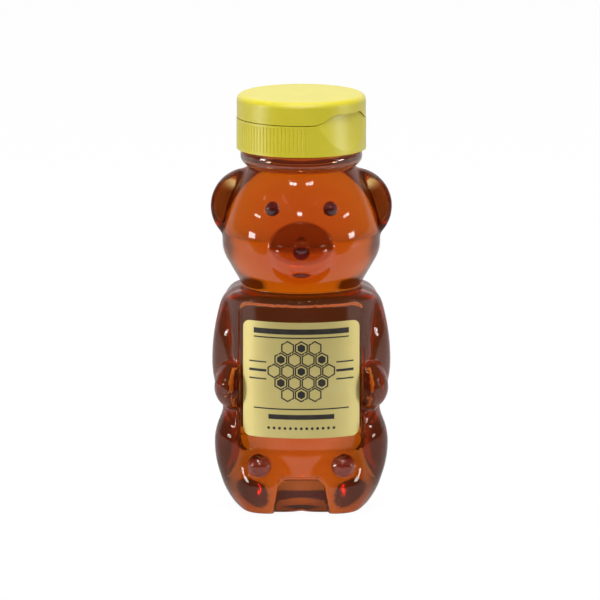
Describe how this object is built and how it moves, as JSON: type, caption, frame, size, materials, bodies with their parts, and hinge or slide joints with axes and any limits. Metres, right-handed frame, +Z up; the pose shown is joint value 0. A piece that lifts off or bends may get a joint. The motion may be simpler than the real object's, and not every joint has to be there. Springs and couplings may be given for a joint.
{
  "type": "bear-shaped honey squeeze bottle",
  "caption": "Bear-shaped clear squeeze bottle full of honey, with a recessed front label panel and a screw-on flip-top cap.",
  "frame": {"origin": "bottom middle of the whole, on the standing face; the neck's axis is 2.6 mm behind it, at y = +0.0026", "axes": "+Z up along the neck, -Y out of the bear's face, +X to the viewer's right when facing the bear"},
  "size_m": [0.0634, 0.0602, 0.1455],
  "materials": {
    "clear_shell": "clear blown PET, glossy",
    "honey": "clear amber honey",
    "gold_foil": "satin gold foil printed in black",
    "foam_liner": "white foamed polyethylene",
    "yellow_plastic": "moulded yellow polypropylene, soft sheen"
  },
  "bodies": {
    "bottle": {"bottle_shell": "clear_shell", "honey_fill": "honey", "front_label": "gold_foil", "back_label": "gold_foil"},
    "liner": {"cap_liner": "foam_liner"},
    "cap": {"cap_base": "yellow_plastic", "living_hinge": "yellow_plastic"},
    "lid": {"cap_lid": "yellow_plastic"}
  },
  "joints": [
    {"name": "cap_lift", "type": "slide", "parent": "bottle", "child": "liner", "axis": [0, 0, 1], "range_m": [0, 0.00846]},
    {"name": "cap_turn", "type": "hinge", "parent": "liner", "child": "cap", "pos_m": [0, 0.0026, 0.1357], "axis": [0, 0, 1], "range_deg": [0, 720]},
    {"name": "lid_flip", "type": "hinge", "parent": "cap", "child": "lid", "pos_m": [-0.01672, 0.01766, 0.13735], "axis": [-0.6691, -0.7431, 0], "range_deg": [0, 150], "deforming": ["living_hinge"]}
  ],
  "couplings": [
    {"joint": "cap_turn", "follows": "cap_lift", "rad_per_m": 1484.2}
  ]
}
